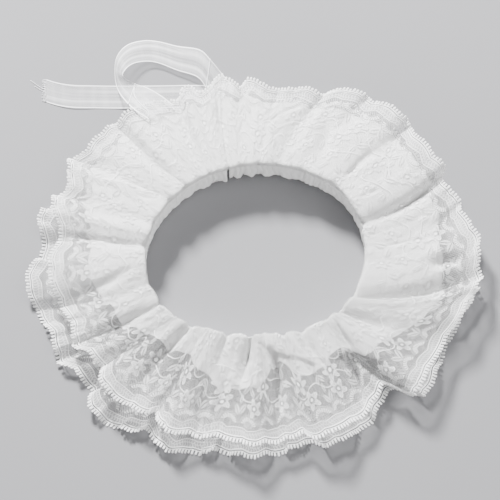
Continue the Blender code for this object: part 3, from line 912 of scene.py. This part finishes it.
def make_lace(name):
    """Machine lace: net, flowers and leaves, and a dense scalloped border."""
    material, tree, shader = new_material(name, (0.9, 0.9, 0.9), 0.75, 0.15)
    along, inward = cloth_place(tree)
    wobble = noise(tree, 2.2, 2.0, (1.0, 1.0, 1.0)) * 1.2 - 0.6
    along = along + wobble
    inward = inward + wobble
    one_way = (along + inward * NET_SLOPE).wave(NET_STEP).size()
    other_way = (along - inward * NET_SLOPE).wave(NET_STEP).size()
    net = one_way.smaller(other_way).step(0.46, 0.16)
    in_border, close_net, border_cord = lace_border(along, inward)
    fan, arch = lace_fans(along, inward)
    motif = lace_motifs(along, inward)
    pattern = largest([net, fan, arch, motif])
    pattern = pattern * in_border.flipped() + in_border * close_net
    hem = inward.step(LACE_STARTS_AT + 1.0, LACE_STARTS_AT + 0.5)
    pattern = largest([pattern, border_cord, hem])
    thick = largest([motif, fan, border_cord, arch])
    cover = pattern * THREAD_COVER + LEAST_COVER
    tree.links.new(cover.socket, shader.inputs["Alpha"])
    # Base colour runs from dark where the net is open to light on the threads. The dark colour is
    # painted shade for the shadow in the net's holes.
    tint(tree, shader, pattern, (0.66, 0.66, 0.67), (0.89, 0.89, 0.89))
    relief(tree, shader, pattern * 0.6 + thick * 0.6, 0.00065, 1.0)
    return material


def make_thread():
    material, tree, shader = new_material("picot_thread", (0.93, 0.93, 0.93), 0.65, 0.2)
    fine = noise(tree, 1800.0, 2.0)
    tint(tree, shader, fine, (0.86, 0.86, 0.86), (0.96, 0.96, 0.96))
    relief(tree, shader, fine, 0.0002, 0.6)
    return material


def plain_weave(tree):
    along, inward = cloth_place(tree)
    return along.wave(COTTON_THREAD_STEP) * inward.wave(COTTON_THREAD_STEP) * 0.12


def make_lining_cloth():
    material, tree, shader = new_material("plain_cotton", (0.92, 0.92, 0.915), 0.85, 0.2)
    crinkle = noise(tree, 6.0, 5.0, (3.0, 0.7, 1.0))
    soft = noise(tree, 18.0, 4.0)
    tint(tree, shader, soft, (0.93, 0.93, 0.925), (0.965, 0.965, 0.96))
    relief(tree, shader, plain_weave(tree) + crinkle * 1.2, 0.0006, 0.6)
    return material


def make_band_cloth():
    material, tree, shader = new_material("band_cotton", (0.91, 0.91, 0.905), 0.85, 0.2)
    crinkle = noise(tree, 10.0, 4.0, (6.0, 0.8, 1.0))
    tint(tree, shader, crinkle, (0.86, 0.86, 0.855), (0.94, 0.94, 0.935))
    relief(tree, shader, plain_weave(tree) + crinkle, 0.0007, 0.7)
    return material


def make_organza():
    """Sheer ribbon: fine streaks along it, and a close bright selvedge on each side."""
    material, tree, shader = new_material("organza", (0.9, 0.9, 0.92), 0.35, 0.3)
    along, across = cloth_place(tree)
    from_middle = (across - RIBBON_WIDTH / 2).size()
    selvedge = from_middle.step(RIBBON_WIDTH / 2 - 1.0, RIBBON_WIDTH / 2 - 0.5)
    streaks = noise(tree, 1.0, 4.0, (0.35, 22.0, 1.0))
    cross = noise(tree, 1.0, 3.0, (14.0, 1.5, 1.0))
    weave = along.wave(0.8).size() * 0.5 + across.wave(0.8).size() * 0.5
    body = streaks.step(0.38, 0.66) * 0.40 + cross.step(0.4, 0.7) * 0.08 + weave * 0.12 + 0.12
    alpha = body.larger(selvedge * 0.95)
    tree.links.new(alpha.socket, shader.inputs["Alpha"])
    tint(tree, shader, alpha, (0.84, 0.84, 0.86), (0.96, 0.96, 0.97))
    relief(tree, shader, streaks + weave * 0.3, 0.0003, 0.5)
    return material


def make_floor_finish():
    material, tree, shader = new_material("pale_floor", (0.5, 0.5, 0.51), 0.9)
    soft = noise(tree, 3.0, 3.0)
    tint(tree, shader, soft, (0.22, 0.22, 0.23), (0.25, 0.25, 0.26))
    return material


def cloth_uvs(points, hem_run):
    """Where each point lies on the cut cloth: along the hem, and inwards from it."""
    steps = np.linalg.norm(np.diff(points, axis=1), axis=2)
    total = steps.sum(axis=1, keepdims=True)
    from_neck = np.concatenate([np.zeros_like(total), np.cumsum(steps, axis=1)], axis=1)
    inward = total - from_neck
    along = np.repeat(hem_run[:, None], points.shape[1], axis=1)
    return np.stack([along, inward], axis=-1)


def run_along(points):
    return np.concatenate([[0.0], np.cumsum(np.linalg.norm(np.diff(points, axis=0), axis=1))])


def frill_places():
    """Places along the frill, closer together where folds meet."""
    even = np.linspace(0, 1, SAMPLES_PER_FOLD, endpoint=False)
    spread = 0.5 * even + 0.25 * (1 - np.cos(np.pi * even))
    places = (np.arange(len(FOLDS))[:, None] + spread[None, :]).ravel()
    return np.append(places, len(FOLDS))


def share_inside(place, surface, inset):
    """The share of the depth that is inset millimetres short of the hem."""
    near = surface(place, np.full_like(place, 0.97))
    hem = surface(place, np.ones_like(place))
    step = np.linalg.norm(hem - near, axis=-1)
    return 1 - 0.03 * inset / step


def frill_sheet(surface, outer, lift):
    """A grid of points on a tier, from the neck to the share outer, off its surface."""
    places = frill_places()
    shares = outer[:, None] * np.linspace(0, 1, FRILL_RINGS)[None, :]
    rows = np.repeat(places[:, None], FRILL_RINGS, axis=1)
    points = surface(rows, shares)
    return points + lift * grid_normals(points)


def lifted_line(surface, places, shares, lift):
    """Points along a tier at one share for each place, off its surface, and which way is off."""
    middle = surface(places, shares)
    inner = surface(places, shares - 0.02)
    normals = evened(np.cross(np.gradient(middle, axis=0), middle - inner), 3)
    return middle + lift * normals, normals


def add_edging(tier, surface, lift, thread):
    """The picot loops and the cords along the hem of a tier."""
    run = run_along(surface(FINE_PLACES, np.ones_like(FINE_PLACES)))
    count = int(run[-1] / PICOT_STEP)
    places = np.interp((np.arange(count) + 0.5) * run[-1] / count, run, FINE_PLACES)
    base_share = share_inside(places, surface, HEM_CORD_AT)
    base, normals = lifted_line(surface, places, base_share, lift)
    tip, _ = lifted_line(surface, places, np.ones_like(places), lift)
    out = evened(tip - base, 6)
    side = unit(np.cross(normals, out))
    round_end = PICOT_HALF_WIDTH / PICOT_LENGTH
    bends = np.linspace(0, math.pi, 6)
    shape = [(0.0, -0.8)]
    shape += [(1 - round_end * (1 - math.sin(bend)), -math.cos(bend)) for bend in bends]
    shape += [(0.0, 0.8)]
    loops = []
    for number in range(count):
        size = 1 + 0.12 * math.sin(number * 2.4)
        loops.append(np.array([
            base[number]
            + out[number] * PICOT_LENGTH * size * forward
            + side[number] * PICOT_HALF_WIDTH * sideways
            for forward, sideways in shape
        ]))
    trim = [tube_piece(tier + "_picots", loops, PICOT_THREAD, 5, thread)]
    for name, inset, thickness in HEM_CORDS:
        shares = share_inside(FINE_PLACES, surface, inset)
        line, _ = lifted_line(surface, FINE_PLACES, shares, lift)
        trim.append(tube_piece(tier + name, [line], thickness, 5, thread))
    return trim


def lace_tier(tier, surface, lift, thread):
    """One tier of lace as far as its close edge, and the trim along its hem."""
    places = frill_places()
    hem_run = run_along(surface(places, np.ones_like(places)))
    points = frill_sheet(surface, share_inside(places, surface, LACE_STARTS_AT), lift)
    uvs = cloth_uvs(points, hem_run)
    uvs[..., 1] += LACE_STARTS_AT
    frill = sheet_piece(tier + "_frill", points, uvs / 100, make_lace(tier + "_lace_cloth"))
    return frill, add_edging(tier, surface, lift, thread)


def make_frills():
    thread = make_thread()
    lower, lower_trim = lace_tier("lower", lower_points, -LOWER_DROP, thread)
    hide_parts("lower_lace")

    places = frill_places()
    lining_share = fold_middle_value(eased(places, 0.5), "lining")
    points = frill_sheet(upper_points, lining_share, 0.0)
    uvs = cloth_uvs(points, run_along(upper_points(places, np.ones_like(places))))
    lining = sheet_piece("lining_cloth", points, uvs / 100, make_lining_cloth())
    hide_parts("lining")

    upper, upper_trim = lace_tier("upper", upper_points, LACE_LIFT, thread)
    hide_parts("upper_lace")

    attach("lace", lower, upper, *lower_trim, *upper_trim)
    attach("lining", lining)


def make_band():
    """A strip folded over its top edge, gathered all along, with a row of stitches."""
    count = BAND_GATHERS * 10
    turns = np.linspace(BAND_START, BAND_END, count + 1)
    share = np.linspace(0, 1, count + 1)
    phase = 2 * math.pi * BAND_GATHERS * share + 1.2 * np.sin(37 * share) + 0.8 * np.sin(83 * share)
    uneven = 0.7 + 0.3 * np.sin(53 * share)
    puffs = np.sin(2 * math.pi * BAND_PUFFS * share + 2.2 * np.sin(29 * share))
    puffs = puffs * (0.6 + 0.4 * np.sin(19 * share + 1.0))
    inner_levels = np.linspace(0.3, BAND_HEIGHT - 0.8, 9)
    profile = [(0.25, level) for level in inner_levels]
    profile += [(0.5, BAND_HEIGHT - 0.2), (0.8, BAND_HEIGHT - 0.05), (1.1, BAND_HEIGHT - 0.2)]
    profile += [(BAND_WALL - 0.25, level) for level in inner_levels[::-1]]
    points = np.zeros((count + 1, len(profile), 3))
    angle = np.radians(turns)
    base = neck_radius(turns)
    for number, (offset, level) in enumerate(profile):
        held = 0.45 + 0.55 * math.sin(math.pi * (level / BAND_HEIGHT))
        low = 1 - level / BAND_HEIGHT
        drift = BAND_GATHER_DRIFT * np.sin(0.33 * level + 41 * share)
        gathers = 1 - 2 * np.abs(np.sin((phase + drift) / 2)) ** 0.7
        radius = base + offset + BAND_GATHER_DEPTH * held * uneven * gathers
        radius = radius + BAND_PUFF_DEPTH * puffs * low
        height = level + BAND_HEM_WAVE * (1 + puffs) * low**3
        points[:, number] = round_neck(radius, angle, height)
    along = run_along(points[:, 4])
    down = run_along(points[0])
    uvs = np.stack(np.meshgrid(along, down, indexing="ij"), axis=-1) / 100
    band = sheet_piece("band_cloth", points, uvs, make_band_cloth())
    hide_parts("neck_band")
    stitches = []
    total = along[-1]
    for level in STITCH_LEVELS:
        for number in range(int(total / BAND_STITCH_STEP)):
            start = number * BAND_STITCH_STEP + 0.5
            at = np.linspace(start, start + BAND_STITCH, 4)
            turn = np.interp(at, along, turns)
            radius = neck_radius(turn) - STITCH_STANDS_OUT + np.array(STITCH_DIPS)
            stitches.append(round_neck(radius, np.radians(turn), np.full_like(turn, level)))
    cotton = bpy.data.materials["picot_thread"]
    thread = tube_piece("band_stitches", stitches, STITCH_THREAD, 4, cotton)
    attach("band", band, thread)


def ribbon_piece(name, left, right, material, bow):
    """A ribbon through its sections, each from one selvedge to the other, and its length."""
    shares = np.linspace(0, 1, RIBBON_COLUMNS)
    points = right[:, None, :] + (left - right)[:, None, :] * shares[None, :, None]
    normals = grid_normals(points)
    points = points + normals * (bow * 4 * shares * (1 - shares))[None, :, None]
    run = run_along((left + right) / 2)
    uvs = np.stack(np.meshgrid(run, shares * RIBBON_WIDTH, indexing="ij"), axis=-1) / 100
    return sheet_piece(name, points, uvs, material), run[-1]


def tail_sections():
    root = np.array(TAIL_ROOT)
    turn = np.array(TAIL_TURN)
    end = np.array(TAIL_FREE_END)
    arriving = unit(turn - root)
    leaving = unit(end - turn)
    crease = unit(arriving + leaving)
    outward = unit(arriving - leaving)
    half_width = RIBBON_WIDTH / 2
    half_crease = half_width / abs(arriving[0] * crease[1] - arriving[1] * crease[0])
    first_side = np.array([-arriving[1], arriving[0]])
    last_side = np.array([0.0, 1.0])
    resting = RIBBON_REST_HEIGHT
    upper_level = resting + 2 * TAIL_FOLD_RADIUS
    left = []
    right = []

    def add_section(middle, towards, half, level):
        left.append([*(middle + towards * half), level])
        right.append([*(middle - towards * half), level])

    add_section(root, first_side, half_width, TAIL_ROOT_HEIGHT)
    add_section(root + (turn - root) * 0.45, first_side, half_width, upper_level)
    add_section(root + (turn - root) * 0.72, first_side, half_width, upper_level)
    for step in range(9):
        bend = math.pi * step / 8
        middle = turn + outward * TAIL_FOLD_RADIUS * math.sin(bend)
        add_section(middle, crease, half_crease, resting + TAIL_FOLD_RADIUS * (1 + math.cos(bend)))
    for step in range(1, 61):
        share = step / 60
        middle = turn + (end - turn) * (0.12 + 0.88 * share)
        middle = middle + np.array([0.0, 0.45 * math.sin(9 * share) * (1 - share)])
        curl = max(0.0, share - 1 + TAIL_END_SHARE) / TAIL_END_SHARE
        middle = middle + last_side * TAIL_END_RISE * curl * curl
        level = resting + 0.25 * (1 + math.sin(17 * share)) * min(1.0, 4 * share)
        add_section(middle, last_side, half_width, level)
    return np.array(left), np.array(right)


def ribbon_line(line, rows):
    """Points just above the loop, along a line drawn on it."""
    steps = np.linspace(0, len(line) - 1, 10 * len(line))
    drawn = smooth_through(steps, np.arange(len(line)), np.array(line, float))
    section = smooth_through(drawn[:, 0], np.arange(len(rows)), rows)
    points = section[:, :3] + (section[:, 3:] - section[:, :3]) * drawn[:, 1:]
    points[:, 2] += 0.45
    return points


def make_ribbons():
    organza = make_organza()
    left, right = tail_sections()
    tail, tail_length = ribbon_piece("tail_ribbon", left, right, organza, 0.0)
    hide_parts("ribbon_tail")

    rows = np.array(LOOP_SECTIONS, float)
    last = len(rows) - 1
    places = np.linspace(0, last, last * LOOP_ROWS_PER_SECTION + 1)
    smooth = smooth_through(places, np.arange(len(rows)), rows)
    inner, outer = smooth[:, 3:], smooth[:, :3]
    loop, loop_length = ribbon_piece("loop_ribbon", inner, outer, organza, LOOP_BOW)
    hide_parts("ribbon_loop")

    end_x = TAIL_FREE_END[0]
    end_y = TAIL_FREE_END[1] + TAIL_END_RISE
    strands = []
    for number in range(FRAYED_ENDS):
        share = (number + 0.5) / FRAYED_ENDS
        y = end_y + (share - 0.5) * RIBBON_WIDTH
        length = 1.2 + 1.6 * abs(math.sin(5.1 * number)) + 0.8 * abs(math.cos(2.3 * number))
        bend = 0.7 * math.sin(3.7 * number)
        along = np.linspace(0, 1, 5)
        strands.append(np.stack([
            end_x + 0.5 - length * along,
            y + bend * along**2,
            0.45 + 0.15 * np.sin(3 * along + number),
        ], axis=-1))
    for start_y, reach, rise in ((end_y + 0.6, 11.0, 7.2), (end_y - 1.2, 8.0, 4.4)):
        along = np.linspace(0, 1, 12)
        strands.append(np.stack([
            end_x - reach * along, start_y + rise * along**1.3, np.full_like(along, 0.4)
        ], axis=-1))
    thread, tree, shader = new_material("organza_thread", (0.93, 0.93, 0.95), 0.4, 0.3)
    tint(tree, shader, noise(tree, 900.0), (0.86, 0.86, 0.88), (0.97, 0.97, 0.98))
    fray = tube_piece("tail_fray", strands, FRAY_THREAD, 4, thread)
    lines = [ribbon_line(line, rows) for line in LOOP_LINES]
    fold = tube_piece("loop_fold", lines, LOOP_THREAD, 5, thread)
    attach("ribbon", tail, loop, fray, fold)


def make_floor():
    half = FLOOR_HALF_WIDTH
    mesh = bpy.data.meshes.new("floor")
    mesh.from_pydata(
        [(-half, -half, 0), (half, -half, 0), (half, half, 0), (-half, half, 0)], [], [(0, 1, 2, 3)]
    )
    mesh.materials.append(make_floor_finish())
    add_object("floor", mesh)


def make_studio():
    for row in LIGHTS:
        light = bpy.data.lights.new(row.name, "AREA")
        light.shape = "DISK"
        light.size = row.size
        light.energy = row.power
        lamp = add_object(row.name, light)
        lamp.location = (row.x, row.y, row.z)
        lamp.rotation_euler = (-lamp.location).to_track_quat("-Z", "Y").to_euler()
    world = bpy.data.worlds.new("studio")
    world.use_nodes = True
    back = world.node_tree.nodes["Background"]
    back.inputs["Color"].default_value = (1.0, 1.0, 1.0, 1.0)
    back.inputs["Strength"].default_value = ROOM_LIGHT
    bpy.context.scene.world = world


def make_camera():
    tilt = math.radians(CAMERA_ELEVATION)
    target = Vector((FRAME_MIDDLE + MIDDLE_OF_NECK) * MM)
    camera = bpy.data.cameras.new("camera")
    camera.sensor_width = SENSOR_WIDTH
    camera.lens = SENSOR_WIDTH * CAMERA_DISTANCE / FRAME_WIDTH
    camera.clip_end = 20.0
    viewer = add_object("camera", camera)
    viewer.location = target + Vector((0, -math.cos(tilt), math.sin(tilt))) * CAMERA_DISTANCE
    viewer.rotation_euler = (math.radians(90) - tilt, 0, 0)
    bpy.context.scene.camera = viewer


make_camera()
make_floor()
make_studio()
make_frills()
make_band()
make_ribbons()
